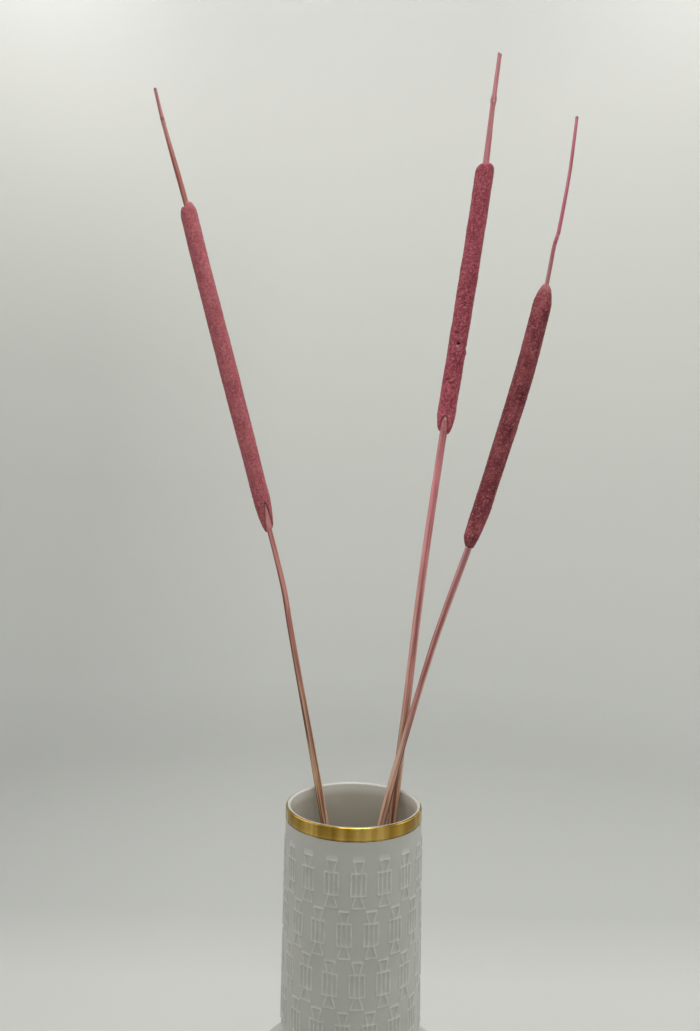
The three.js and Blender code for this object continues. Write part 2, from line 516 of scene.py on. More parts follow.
def spike_material(name, tones, pale, bare, mottle, specks):
    """Granular velvet of three tones, with pale specks and tips, bare culm in its notches, painted shade
    at notch edges and in pits, painted highlights, and painted light on a pale base.
    """
    m = Material(name, Specular_IOR_Level=0.12, Sheen_Weight=0.3, Sheen_Roughness=0.4,
                 Sheen_Tint=srgb(236, 178, 180))
    section = m.attribute("section", "Vector")
    broad = m.noise(m.stretched(section, (1, 1, 0.4)), 5 * MM, detail=3)
    clump = m.noise(section, 1.7 * MM, detail=3, roughness=0.7)
    grain = m.cells(section, 0.7 * MM)
    tone = m.times(m.remap(broad, 0.3, 0.7), mottle)
    tone = m.math("ADD", tone, m.times(m.remap(clump, 0.3, 0.7), 0.45 - mottle / 2))
    tone = m.math("ADD", tone, m.times(grain, 0.55 - mottle / 2))
    deep, middle, light = tones
    colour = m.ramp(tone, [(0.22, deep), (0.5, middle), (0.8, light)])
    fleck = m.times(m.remap(grain, 0.8, 0.88), m.remap(clump, 0.42, 0.55))
    colour = m.mix(m.times(fleck, specks), colour, pale)
    colour = m.mix(m.attribute("flush"), colour, FLUSH, "MULTIPLY")
    colour = m.mix(m.times(m.attribute("tip"), 0.25), colour, pale)
    colour = m.mix(m.times(m.attribute("end"), 0.8), colour, pale)
    fibre = m.noise(m.stretched(section, (1, 1, 0.03)), 0.9 * MM, detail=3)
    shaded = m.mix(1.0, bare, srgb(206, 168, 168), "MULTIPLY")
    straw = m.mix(m.remap(fibre, 0.45, 0.6, 0, 0.6), bare, shaded)
    colour = m.mix(m.attribute("bare"), colour, straw)
    # shine paints highlights; stain_and_shade darkens real stains and paints shade along notch edges and
    # in pits.
    colour = m.mix(m.attribute("shine"), colour, srgb(255, 232, 222))
    colour = m.mix(m.attribute("stain_and_shade"), colour, srgb(52, 18, 22))
    roughness = m.remap(clump, 0.3, 0.7, 0.82, 0.95)
    m.set(Base_Color=colour, Roughness=roughness, Normal=m.bump(grain, 0.1 * MM))
    return m.made


def stage_material():
    """Pale paper with painted light: lighter on the floor in front and towards the top of the wall, and
    painted shade low on its left.
    """
    m = Material("paper", Specular_IOR_Level=0.2)
    place = m.place()
    height = m.axis(place, "Z")
    # Painted light: the wall grows lighter towards its top.
    rise = m.remap(height, 0, STAGE_HEIGHT)
    colour = m.ramp(rise, [
        (0.0, srgb(195, 196, 193)), (0.03, srgb(204, 205, 202)), (0.18, srgb(225, 226, 222)),
        (0.37, srgb(235, 236, 231)), (0.55, srgb(248, 248, 244)), (0.66, srgb(252, 252, 249))])
    # Painted light: a brighter pool on the floor in front, round the vase.
    near = m.remap(m.axis(place, "Y"), 0.37, 0.25)
    front = m.times(near, m.remap(height, 10 * MM, 1 * MM))
    colour = m.mix(front, colour, srgb(209, 209, 206))
    # Painted shade low on the left of the wall.
    left = m.remap(m.axis(place, "X"), -0.15, -0.55)
    shade = m.times(left, m.remap(rise, 0.5, 0.3))
    colour = m.mix(m.times(shade, 0.14), colour, (0, 0, 0, 1))
    grain = m.noise(place, 3 * MM, detail=4)
    colour = m.mix(m.remap(grain, 0.3, 0.7, 0, 0.02), colour, srgb(190, 190, 184))
    roughness = m.remap(grain, 0.3, 0.7, 0.85, 0.95)
    m.set(Base_Color=colour, Roughness=roughness, Normal=m.bump(grain, 0.05 * MM))
    return m.made


# ---- building the vase


def body_rise(radius, height):
    """The height of the half ellipse that leaves the belly and passes this point."""
    return abs(height - BELLY_HEIGHT) / math.sqrt(1 - (radius / BELLY_RADIUS) ** 2)


LOWER_RISE = body_rise(FOOT_RADIUS, FOOT_CHAMFER)
UPPER_RISE = body_rise(NECK_ROOT_RADIUS, NECK_ROOT_HEIGHT)


def half_ellipse(rise, wall, start, stop, count):
    """Points (radius, height) on the body between two slopes, from the belly's angle 0 upwards."""
    angles = np.linspace(start, stop, count)
    radii = (BELLY_RADIUS - wall) * np.cos(angles)
    return np.stack([radii, BELLY_HEIGHT + (rise - wall) * np.sin(angles)], -1)


def relief_rows():
    """Depths below the rim at which a row of points is needed to draw the relief."""
    rows = [SPOOL_FLARE * share for share in (0.33, 0.58, 0.84)]
    rows += [FRAME_TOP + (FRAME_BOTTOM - FRAME_TOP) * share for share in (0.25, 0.5, 0.75)]
    rows += [SPOOL_HEIGHT - SPOOL_FLARE * share for share in (0.8, 0.55, 0.3)]
    for line in (0, FRAME_TOP, FRAME_BOTTOM, SPOOL_HEIGHT):
        rows += [line + edge for edge in LINE_EDGES]
    return [FIRST_TIER + tier * TIER_PITCH + row for tier in range(TIERS) for row in sorted(rows)]


def motif_columns(down):
    """Half a motif's columns at a depth below its top, as distances from its centre line."""
    waist = np.interp(down, [0, SPOOL_FLARE, SPOOL_HEIGHT - SPOOL_FLARE, SPOOL_HEIGHT],
                      [SPOOL_TOP, SPOOL_WAIST, SPOOL_WAIST, SPOOL_BOTTOM])
    side = max(FRAME_HALF_WIDTH, waist + FRAME_GAP)
    spare = side + LINE_FOOT + (HALF_PITCH - side - LINE_FOOT) * 0.2
    return np.array([0, *(waist + LINE_EDGES), *(side + LINE_EDGES), spare, HALF_PITCH])


def motif_heights(down):
    """Which of half a motif's columns stand on a raised line at a depth below its top."""
    raised = np.zeros(MOTIF_COLUMNS // 2 + 1)
    reach = LINE_CREST + 0.001 * MM
    if -reach <= down <= SPOOL_HEIGHT + reach:
        raised[2:4] = 1
    if min(abs(down), abs(down - SPOOL_HEIGHT)) <= reach:
        raised[:4] = 1
    if min(abs(down - FRAME_TOP), abs(down - FRAME_BOTTOM)) <= reach:
        raised[:8] = 1
    if FRAME_TOP - reach <= down <= FRAME_BOTTOM + reach:
        raised[6:8] = 1
    return raised


def vase_row(depth):
    """Angles round the vase, and shares of the relief's height, for the columns at a depth."""
    tier = int(np.clip((depth - FIRST_TIER + LINE_FOOT) // TIER_PITCH, 0, TIERS - 1))
    down = depth - FIRST_TIER - tier * TIER_PITCH
    half = motif_columns(np.clip(down, 0, SPOOL_HEIGHT))
    raised = motif_heights(down)
    across = np.concatenate([half, 2 * HALF_PITCH - half[-2:0:-1]])
    share = np.concatenate([raised, raised[-2:0:-1]])
    odd = tier % 2
    place = np.arange(MOTIF_COLUMNS * MOTIFS) - MOTIF_COLUMNS // 2 * odd
    motif, column = np.divmod(place, MOTIF_COLUMNS)
    along = across[column] + (2 * motif + odd) * HALF_PITCH
    return FIRST_MOTIF + along / NECK_ROOT_RADIUS, share[column]


def vase_ring(reach, angles, height):
    """Points at a reach from the vase's axis."""
    height = np.broadcast_to(height, angles.shape)
    return np.stack([reach * np.sin(angles), -reach * np.cos(angles), height], -1)


def outer_profile():
    """Points (radius, height) from under the foot, up the outside, to the lip."""
    foot_angle = -math.asin((BELLY_HEIGHT - FOOT_CHAMFER) / LOWER_RISE)
    neck_angle = math.acos(NECK_ROOT_RADIUS / BELLY_RADIUS)
    under = [(share * (FOOT_RADIUS - FOOT_CHAMFER), 0) for share in (0.35, 0.7, 0.9, 1)]
    lower = half_ellipse(LOWER_RISE, 0, foot_angle, 0, 16)[:-1]
    upper = half_ellipse(UPPER_RISE, 0, 0, neck_angle, 22)
    plain = [LIP_RADIUS, 2.5 * MM, 4.5 * MM, 7 * MM, 10 * MM, 13 * MM]
    heights = RIM_HEIGHT - np.array([*plain, *relief_rows()])[::-1]
    heights = heights[heights > NECK_ROOT_HEIGHT + 0.3 * MM]
    neck_ends = [NECK_ROOT_HEIGHT, RIM_HEIGHT - LIP_RADIUS]
    radii = np.interp(heights, neck_ends, [NECK_ROOT_RADIUS, RIM_RADIUS])
    return [*under, *lower, *upper, *zip(radii, heights)]


def lip_profile():
    """Points (radius, height) over the lip, from its outer edge to its inner edge."""
    angles = np.linspace(0, math.pi, 13)[1:]
    radii = RIM_RADIUS - LIP_RADIUS + LIP_RADIUS * np.cos(angles)
    return list(zip(radii, RIM_HEIGHT - LIP_RADIUS + LIP_RADIUS * np.sin(angles)))


def inner_profile():
    """Points (radius, height) from the lip down the bore and the inside to the floor."""
    bore_root = NECK_ROOT_RADIUS - 2 * LIP_RADIUS
    bore_angle = math.acos(bore_root / (BELLY_RADIUS - BODY_WALL))
    floor_angle = -math.asin((BELLY_HEIGHT - FLOOR_THICKNESS) / (LOWER_RISE - BODY_WALL))
    upper = half_ellipse(UPPER_RISE, BODY_WALL, 0, bore_angle, 12)[::-1]
    lower = half_ellipse(LOWER_RISE, BODY_WALL, floor_angle, 0, 12)[::-1][1:]
    bore_top = (RIM_RADIUS - 2 * LIP_RADIUS, RIM_HEIGHT - LIP_RADIUS)
    bore = np.linspace(bore_top, upper[0], 9)[1:-1]
    floor = [(share * lower[-1][0], FLOOR_THICKNESS) for share in (0.66, 0.33)]
    return [*bore, *upper, *lower, *floor]


def build_vase():
    """The vase: one closed turned body with the relief raised on its neck."""
    profile = np.array([*outer_profile(), *lip_profile(), *inner_profile()])
    rows, columns = len(profile), MOTIF_COLUMNS * MOTIFS
    lip = int(np.argmax(profile[:, 1]))
    points = np.zeros((rows, columns, 3))
    crest = np.zeros((rows, columns))
    for row, (radius, height) in enumerate(profile):
        angles, share = vase_row(RIM_HEIGHT - height)
        crest[row] = share * (row < lip and height > NECK_ROOT_HEIGHT)
        points[row] = vase_ring(radius + LINE_HEIGHT * crest[row], angles, height)
    points = np.concatenate([points.reshape(-1, 3), [[0, 0, 0], [0, 0, FLOOR_THICKNESS]]])
    inside = np.repeat(np.arange(rows) > lip + 2, columns)
    attributes = {
        "inside": np.concatenate([inside, [False, True]]).astype(float),
        "crest": np.concatenate([crest.ravel(), [0, 0]]),
    }
    faces = rod_faces(rows, columns)
    add_piece("porcelain_vase", points, faces, porcelain_material(), "vase", attributes)


def gilding_profile():
    """Points (radius, height from the rim) round the gilded band's section, from its lower edge."""
    centre = RIM_RADIUS - LIP_RADIUS
    outer = LIP_RADIUS + GILT_PROUD
    inner = LIP_RADIUS - GILT_SUNK
    edge = [-GILT_DEPTH * share for share in (1, 0.7, 0.4)]
    turns = np.linspace(0, GILT_TURN, 12)
    profile = [(RIM_RADIUS + GILT_PROUD, height) for height in edge]
    for turn in turns:
        profile.append((centre + outer * math.cos(turn), outer * (math.sin(turn) - 1)))
    for turn in reversed(turns):
        profile.append((centre + inner * math.cos(turn), inner * math.sin(turn) - LIP_RADIUS))
    profile += [(RIM_RADIUS - GILT_SUNK, height) for height in reversed(edge)]
    return profile


def build_gilding():
    """The gilded band: a closed ring over the lip's outer half, lapped at a seam."""
    angles = once_round(GILT_SIDES)
    round_rim = np.stack([np.sin(angles), np.cos(angles), 0 * angles], -1) * RIM_RADIUS
    wave = GILT_WAVE * noise(round_rim, 3 * MM, 5)
    step = smoothstep((angles - GILT_SEAM) / GILT_STEP)
    fade = smoothstep((GILT_SEAM + GILT_LAPPED - angles) / GILT_FADE)
    lap = GILT_LAP * step * fade
    taper = (NECK_ROOT_RADIUS - RIM_RADIUS) / (RIM_HEIGHT - NECK_ROOT_HEIGHT)
    rings = []
    for radius, height in gilding_profile():
        low = smoothstep((-height - 0.5 * GILT_DEPTH) / (0.4 * GILT_DEPTH))
        reach = radius - taper * height + (lap if radius > RIM_RADIUS else 0)
        rings.append(vase_ring(reach, angles, RIM_HEIGHT + height + wave * low))
    faces = ring_faces(len(rings), GILT_SIDES, closed=True)
    add_piece("gilded_rim", np.array(rings), faces, gilding_material())


# ---- building the culms


def cad_corners(node):
    """The corners of a CAD solid's mesh."""
    return np.array([corner.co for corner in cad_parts[node].data.vertices])


class Culm:
    """The centre line and radius of a CAD culm, read back from the rings of its mesh."""

    def __init__(self, node):
        corners = cad_corners(node)
        corners = corners[np.argsort(corners[:, 2])]
        rings = np.split(corners, np.nonzero(np.diff(corners[:, 2]) > RING_GAP)[0] + 1)
        self.centres = np.array([(ring.min(0) + ring.max(0)) / 2 for ring in rings])
        self.radii = np.array([np.linalg.norm(ring - centre, axis=1).max()
                               for ring, centre in zip(rings, self.centres)])
        steps = np.linalg.norm(np.diff(self.centres, axis=0), axis=1)
        self.stations = np.concatenate([[0], np.cumsum(steps)])
        self.slopes = np.gradient(self.centres, self.stations, axis=0)
        self.length = self.stations[-1]

    def line(self, s):
        """Centres and directions at lengths s along the culm."""
        i = np.clip(np.searchsorted(self.stations, s) - 1, 0, len(self.stations) - 2)
        span = (self.stations[i + 1] - self.stations[i])[..., None]
        t = (s - self.stations[i])[..., None] / span
        start, stop = self.centres[i], self.centres[i + 1]
        leave, arrive = self.slopes[i] * span, self.slopes[i + 1] * span
        centre = (start * (2 * t**3 - 3 * t**2 + 1) + leave * (t**3 - 2 * t**2 + t)
                  + stop * (3 * t**2 - 2 * t**3) + arrive * (t**3 - t**2))
        along = ((stop - start) * (6 * t - 6 * t**2) + leave * (3 * t**2 - 4 * t + 1)
                 + arrive * (3 * t**2 - 2 * t))
        return centre, along / np.linalg.norm(along, axis=-1, keepdims=True)

    def radius(self, s):
        """The culm's radius, without the swelling at its node."""
        plain = self.stations != self.knuckle()
        return np.interp(s, self.stations[plain], self.radii[plain])

    def point(self, s, angle, reach):
        """The point at a length along the culm, an angle round it and a reach from its line."""
        centre, along = self.line(s)
        across = np.cross([0, 1, 0], along)
        across /= np.linalg.norm(across, axis=-1, keepdims=True)
        back = np.cross(along, across)
        outwards = np.cos(angle)[..., None] * across + np.sin(angle)[..., None] * back
        return centre + reach[..., None] * outwards

    def at_height(self, height):
        """The length along the culm at which it passes a height."""
        return np.interp(height, self.centres[:, 2], self.stations)

    def knuckle(self):
        """The length along the culm of its upper node, where the CAD rings stand closest."""
        gaps = np.diff(self.stations)
        return self.stations[1 + np.argmin(gaps[:-1] + gaps[1:])]


def section_at(s, angle, reach):
    """Coordinates that follow a culm, for materials and noise: two across it and one along it."""
    return np.stack([reach * np.cos(angle), reach * np.sin(angle), np.broadcast_to(s, reach.shape)], -1)


def dent(s, angle, reach, place, mark):
    """A round bump function centred on a mark at a length along a culm, from 0 to 1."""
    turn = (angle - math.radians(mark.angle) + math.pi) % (2 * math.pi) - math.pi
    along = (s - place) / (mark.size * mark.stretch)
    return np.exp(-(along ** 2 + (turn * reach / mark.size) ** 2))


def ribs(guide, seed):
    """Long ridges and grooves that run along a culm, from about -1 to 1."""
    long = noise(guide * (1, 1, 0.012), 1.4 * MM, seed)
    fine = noise(guide * (1, 1, 0.03), 0.7 * MM, seed + 1)
    return 0.9 * long + 0.45 * fine


def slanted(slant, reach, angle):
    """How far a slanted cut end rises at each point round it."""
    return reach * (slant[0] * np.cos(angle) + slant[1] * np.sin(angle))


def end_rings(culm, angle, start, radius, profile, slant, outwards):
    """Points and sections of the rings that close one end of a culm."""
    points, sections = [], []
    for share, past in profile[1:]:
        s = np.full(CULM_SIDES, start + past * outwards)
        reach = radius * share
        lift = slanted(slant, reach, angle)
        points.append(culm.point(s, angle, reach) + lift[:, None] * (0, 0, 1))
        sections.append(section_at(s, angle, reach))
    return points[::outwards], sections[::outwards]


def culm_rings(low, high, knuckle):
    """Lengths along a culm for its rings of points, closer together round its node."""
    even = np.arange(low, high, CULM_STEP)
    return np.unique([*even, high - 0.5 * MM, high, *(knuckle + NODE_ROWS)])


def culm_surface(culm, straw, s, theta, rib):
    """The radius, its darkening (real stains, and painted shade in pits and creases) and its painted
    highlight (shine) at each point between a culm's ends.
    """
    knuckle, mouth, high = culm.knuckle(), culm.at_height(MOUTH_HEIGHT), s[-1, 0]
    ridged = np.interp(s, [0, culm.length], [RIBS_AT_FOOT, RIBS_AT_TIP])
    radius = culm.radius(s) - CULM_SUNK + rib * ridged
    radius = radius + straw.swell * np.exp(-((s - knuckle) / SWELL_REACH) ** 2)
    radius = radius + straw.flare * np.exp(-((s - mouth) / FLARE_REACH) ** 2)
    stain_and_shade = straw.tip_stain * smoothstep(1 - (high - s) / TIP_STAIN_REACH)
    shine = np.zeros_like(s)
    for mark in straw.marks:
        spot = dent(s, theta, radius, knuckle + mark.place, mark)
        radius = radius - mark.depth * spot
        stain_and_shade = np.maximum(stain_and_shade, mark.stain_and_shade * spot)
        shine = np.maximum(shine, mark.shine * spot)
    return radius, stain_and_shade, shine


def build_culm(name, node, material, straw, seed):
    """One culm: ridged straw on the CAD culm's line, with cut ends and marks near its node."""
    culm = Culm(node)
    low, high = CULM_INSET, culm.length - max(past for _, past in straw.tip)
    angle = once_round(CULM_SIDES)
    s, theta = np.meshgrid(culm_rings(low, high, culm.knuckle()), angle, indexing="ij")
    rib = ribs(section_at(s, theta, culm.radius(s)), seed)
    radius, stain_and_shade, shine = culm_surface(culm, straw, s, theta, rib)
    lift = smoothstep(1 - (high - s) / SLANT_REACH) * slanted(straw.slant, radius, theta)
    side = culm.point(s, theta, radius) + lift[..., None] * (0, 0, 1)
    foot, foot_sections = end_rings(culm, angle, low, radius[0], FLAT_CUT, (0, 0), -1)
    tip, tip_sections = end_rings(culm, angle, high, radius[-1], straw.tip, straw.slant, 1)
    points = np.concatenate([foot, side, tip])
    sections = np.concatenate([foot_sections, section_at(s, theta, radius), tip_sections])
    faces = rod_faces(len(points), CULM_SIDES)
    points = np.concatenate([points.reshape(-1, 3), [points[0].mean(0), points[-1].mean(0)]])

    def with_ends(values, at_foot, at_tip):
        before = np.full(len(foot) * CULM_SIDES, at_foot)
        after = np.full(len(tip) * CULM_SIDES, at_tip)
        return np.concatenate([before, values.ravel(), after, [at_foot, at_tip]])

    attributes = {
        "section": np.concatenate([sections.reshape(-1, 3), [[0, 0, low], [0, 0, high]]]),
        "rise": points[:, 2] / points[:, 2].max(),
        "rib": with_ends(0.5 + 0.5 * rib, 0.5, 0.5),
        "stain_and_shade": with_ends(stain_and_shade, 0.5, max(straw.tip_stain, 0.3)),
        "shine": with_ends(shine, 0, 0),
    }
    add_piece(name, points, faces, material, node, attributes)


# ---- building the heads


def rounded(distance, length, power):
    """A head's share of its full width, at a distance from an end rounded over a length."""
    share = np.clip(distance / length, 0, 1)
    return (1 - (1 - share) ** power) ** (1 / power)


def tilted(tilt, side):
    """How much further in a head ends on one side, where it is tilted."""
    return abs(tilt) * (1 - side * np.sign(tilt)) / 2


def head_profile(culm, node):
    """A CAD head's two ends, as lengths along its culm, and its full radius between them."""
    dense = np.arange(0, culm.length, 0.25 * MM)
    line, _ = culm.line(dense)
    corners = np.unique(cad_corners(node).round(6), axis=0)
    gaps = np.linalg.norm(corners[:, None] - line[None], axis=2)
    s, reach = dense[gaps.argmin(1)], gaps.min(1)
    low, high = s.min(), s.max()
    full = (s > low + HEAD_BASE_LENGTH) & (s < high - HEAD_TOP_LENGTH)
    full &= reach > culm.radius(s) + HEAD_WALL
    order = np.argsort(s[full])
    return low, high, s[full][order], reach[full][order]


class Sleeve:
    """The rough surface of a flower head, as rings of points, with a tint for each point."""

    def __init__(self, culm, node, spike, seed):
        self.culm, self.spike = culm, spike
        self.low, self.high, known_s, known_reach = head_profile(culm, node)
        rings = np.linspace(self.low, self.high, int((self.high - self.low) / HEAD_STEP))
        self.s, self.theta = np.meshgrid(rings, once_round(HEAD_SIDES), indexing="ij")
        self.full = np.interp(self.s, known_s, known_reach) - SLEEVE_SUNK
        self.hidden = culm.radius(self.s) - HEAD_HIDDEN
        side = np.cos(self.theta)
        self.from_base = self.s - self.low - tilted(spike.base.tilt, side)
        self.from_top = self.high - self.s - tilted(spike.top.tilt, side)
        self.reach = self.tapered(side) + self.roughness(seed)
        self.tint_ends()
        self.add_marks()
        self.cut_notches()
        past = (self.from_base < 0) | (self.from_top < 0)
        self.reach = np.where(past, self.hidden, np.maximum(self.reach, self.hidden))

    def tapered(self, side):
        """The smooth radius, which narrows towards both ends."""
        base, top = self.spike.base, self.spike.top
        base_share = rounded(self.from_base, base.length * (1 + base.skew * side), base.power)
        top_share = rounded(self.from_top, top.length, top.power)
        reach = base.radius + (self.full - base.radius) * base_share
        reach = np.minimum(reach, top.radius + (self.full - top.radius) * top_share)
        return reach + base.shift * side * smoothstep(1 - self.from_base / SHIFT_REACH)

    def roughness(self, seed):
        """Broad lumps and packed grains."""
        guide = section_at(self.s, self.theta, self.full)
        self.grain = grains(guide, GRAIN_SIZE, seed + 3)
        lumps = noise(guide * (1, 1, 0.6), LUMP_SIZE, seed) * self.spike.lumps
        return lumps + (self.grain - 0.5) * self.spike.grain

    def tint_ends(self):
        base, top = self.spike.base, self.spike.top
        pale_top = smoothstep(1 - self.from_top / top.pale_length) * (self.grain > 0.25)
        # On a base, pale paints light over the shade that falls under the head.
        painted_light_base = smoothstep(1 - self.from_base / base.pale_length)
        self.end = np.maximum(top.pale * pale_top, base.pale * painted_light_base)
        inwards = np.minimum(self.from_base / base.flush, self.from_top / top.flush)
        self.flush = smoothstep(1 - inwards)

    def add_marks(self):
        self.stain_and_shade = np.zeros_like(self.s)
        self.shine = np.zeros_like(self.s)
        for mark in self.spike.marks:
            spot = dent(self.s, self.theta, self.full, self.culm.at_height(mark.place), mark)
            self.reach = self.reach - mark.depth * spot
            self.stain_and_shade = np.maximum(self.stain_and_shade, mark.stain_and_shade * spot)
            self.shine = np.maximum(self.shine, mark.shine * spot)

    def cut_notches(self):
        self.bare = np.zeros_like(self.s)
        for notch in self.spike.notches:
            cut, edge = self.notch_cut(notch)
            floor = np.maximum(self.reach - notch.depth, self.hidden)
            self.reach = self.reach + (floor - self.reach) * cut
            self.bare = np.maximum(self.bare, cut)
            # Painted shade along the notch's edge, where the velvet steps down to the culm.
            self.stain_and_shade = np.maximum(self.stain_and_shade, notch.edge * edge)
        ring = smoothstep(1.3 - self.from_base / (0.5 * MM)) * (1 - self.bare)
        self.stain_and_shade = np.maximum(self.stain_and_shade, self.spike.base.ring * ring)

    def notch_cut(self, notch):
        """How far each point lies inside a notch, and how close to its edge, from 0 to 1."""
        distance = self.from_base if notch.end == "base" else self.from_top
        turn = self.theta - math.radians(notch.angle)
        aside = self.reach * np.sin(turn)
        front = np.cos(turn) > 0
        share = np.clip(1 - distance / notch.length, 0, 1)
        over = notch.half_width * share ** notch.taper - np.abs(aside)
        over = np.where(front & (share > 0), over, -FAR)
        past_apex = np.hypot(distance - notch.length, aside)
        near = np.where(share > 0, np.abs(over + NOTCH_BLUR / 3), past_apex)
        near = np.where(front, near, FAR)
        edge = smoothstep(1.2 - near / NOTCH_BLUR) * (1 - 0.7 * share)
        return smoothstep(over / NOTCH_BLUR + 0.5), edge


def down_tufts(culm, sleeve, seed):
    """The corners and sections of small closed spikes of down on a sleeve, and their flush."""
    reach = sleeve.reach
    random = np.random.default_rng(seed)
    row = random.uniform(0, len(reach) - 1.001, DOWN_TUFTS)
    column = random.uniform(0, HEAD_SIDES, DOWN_TUFTS)
    i, j = row.astype(int), column.astype(int)
    nearby = np.array([reach[i, j], reach[i + 1, j], reach[i, (j + 1) % HEAD_SIDES]])
    to_end = np.minimum(sleeve.from_base[i, j], sleeve.from_top[i, j])
    keep = (np.ptp(nearby, axis=0) < DOWN_STEP_LIMIT) & (to_end > DOWN_END_GAP)
    keep &= sleeve.bare[i, j] < 0.05
    row, column, i, j = row[keep], column[keep], i[keep], j[keep]
    at = np.interp(row, np.arange(len(reach)), sleeve.s[:, 0])
    angle = column * 2 * math.pi / HEAD_SIDES
    ground = nearby[:, keep].min(0) - DOWN_ROOT
    count = len(at)
    long = DOWN_LENGTH * random.uniform(0.5, 1.0, count)
    wide = DOWN_WIDTH * random.uniform(0.6, 1.1, count)
    spin = random.uniform(0, 2 * math.pi, count)
    corners, sections = [], []
    for corner in range(3):
        turn = spin + corner * 2 * math.pi / 3
        up, aside = wide * np.sin(turn), wide * np.cos(turn)
        corners.append(culm.point(at + up, angle + aside / ground, ground))
        sections.append(section_at(at + up, angle, ground))
    sway = random.normal(0, DOWN_SWAY, (2, count))
    tip = np.minimum(at + DOWN_SWAY + sway[0], sleeve.high)
    corners.append(culm.point(tip, angle + sway[1] / ground, ground + long))
    sections.append(section_at(at, angle, ground))
    return np.stack(corners, 1), np.stack(sections, 1), np.repeat(sleeve.flush[i, j], 4)


def build_head(name, node, culm_node, material, spike, seed):
    """One flower head: a rough velvet sleeve round its culm, covered in down."""
    culm = Culm(culm_node)
    sleeve = Sleeve(culm, node, spike, seed)
    bore_s, bore_theta = np.meshgrid(
        np.linspace(sleeve.high, sleeve.low, BORE_RINGS), sleeve.theta[0], indexing="ij")
    bore_reach = culm.radius(bore_s) - BORE_HIDDEN
    outside = culm.point(sleeve.s, sleeve.theta, sleeve.reach)
    bore = culm.point(bore_s, bore_theta, bore_reach)
    rings = np.concatenate([outside, bore])
    tufts, tuft_sections, tuft_flush = down_tufts(culm, sleeve, seed)
    faces = ring_faces(len(rings), HEAD_SIDES, closed=True)
    corner = rings.size // 3 + 4 * np.arange(len(tufts))[:, None]
    for triangle in ((0, 1, 3), (1, 2, 3), (2, 0, 3), (0, 2, 1)):
        faces += (corner + np.array(triangle)).tolist()
    sections = np.concatenate([
        section_at(sleeve.s, sleeve.theta, sleeve.reach), section_at(bore_s, bore_theta, bore_reach)])

    def with_bore(values, on_tufts=np.zeros(4 * len(tufts))):
        return np.concatenate([values.ravel(), np.zeros(bore_s.size), on_tufts])

    attributes = {
        "section": np.concatenate([sections.reshape(-1, 3), tuft_sections.reshape(-1, 3)]),
        "tip": with_bore(np.zeros(sleeve.s.size), np.tile([0, 0, 0, 1], len(tufts))),
        "bare": with_bore(sleeve.bare),
        "end": with_bore(sleeve.end),
        "flush": with_bore(sleeve.flush, tuft_flush),
        "shine": with_bore(sleeve.shine),
        "stain_and_shade": with_bore(sleeve.stain_and_shade),
    }
    points = np.concatenate([rings.reshape(-1, 3), tufts.reshape(-1, 3)])
    add_piece(name, points, faces, material, node, attributes)


# ---- the three cattails


def build_left_culm():
    """Tan straw with a dark ring at its node and a dark, rounded tip."""
    stalk = culm_material("straw_left", [
        (0.35, 221, 180, 142), (0.39, 167, 126, 99), (0.44, 170, 119, 101),
        (0.53, 177, 102, 102), (0.92, 150, 73, 63), (0.95, 162, 98, 90),
        (1, 178, 116, 119)], dark=srgb(92, 50, 40))
    node_ring = [Mark(0, angle, 1.3 * MM, 0.08 * MM, stain_and_shade=0.75) for angle in range(0, 360, 30)]
    straw = Straw(ROUND_END, tip_stain=0.8, swell=0.25 * MM, flare=0.15 * MM, marks=node_ring)
    build_culm("culm_left", "stem_left", stalk, straw, seed=11)


def build_middle_culm():
    """Pink straw, swollen at its node and cut slantwise, so that its hollow shows."""
    stalk = culm_material("straw_middle", [
        (0.35, 164, 107, 72), (0.39, 150, 94, 75), (0.44, 201, 136, 131),
        (0.6, 225, 142, 151), (0.645, 190, 114, 120), (0.9, 183, 110, 119),
        (0.95, 173, 92, 104), (1, 169, 91, 105)], dark=srgb(90, 52, 48))
    glint = Mark(-1.6 * MM, -88, 0.5 * MM, -0.05 * MM, shine=0.7)
    straw = Straw(HOLLOW_CUT, tip_stain=0.2, slant=(-0.4, 0.62), swell=0.45 * MM, flare=0.3 * MM,
                  marks=[glint])
    build_culm("culm_middle", "stem_middle", stalk, straw, seed=21)


def build_right_culm():
    """Mauve straw, pitted and scarred round its kinked node."""
    stalk = culm_material("straw_right", [
        (0.37, 191, 143, 122), (0.41, 165, 115, 103), (0.46, 192, 130, 124),
        (0.54, 198, 134, 139), (0.57, 184, 128, 131), (0.84, 173, 113, 118),
        (0.88, 192, 96, 121), (0.94, 179, 85, 110), (1, 187, 99, 117)],
        dark=srgb(74, 28, 36))
    # The stains in these dents are partly painted shade in the pits and creases; the bump at 6 mm
    # carries a painted highlight.
    scars = [Mark(1 * MM, angle, 0.9 * MM, 0.12 * MM, stain_and_shade=0.55) for angle in (-150, -110, -60)]
    scars += [
        Mark(6 * MM, -60, 0.8 * MM, -0.1 * MM, shine=0.3),
        Mark(7.6 * MM, -100, 0.5 * MM, 0.15 * MM, stain_and_shade=0.5),
        Mark(4.6 * MM, -120, 0.6 * MM, 0.15 * MM, stain_and_shade=0.55)]
    straw = Straw(ROUND_END, tip_stain=0.7, flare=0.42 * MM, marks=scars)
    build_culm("culm_right", "stem_right", stalk, straw, seed=31)


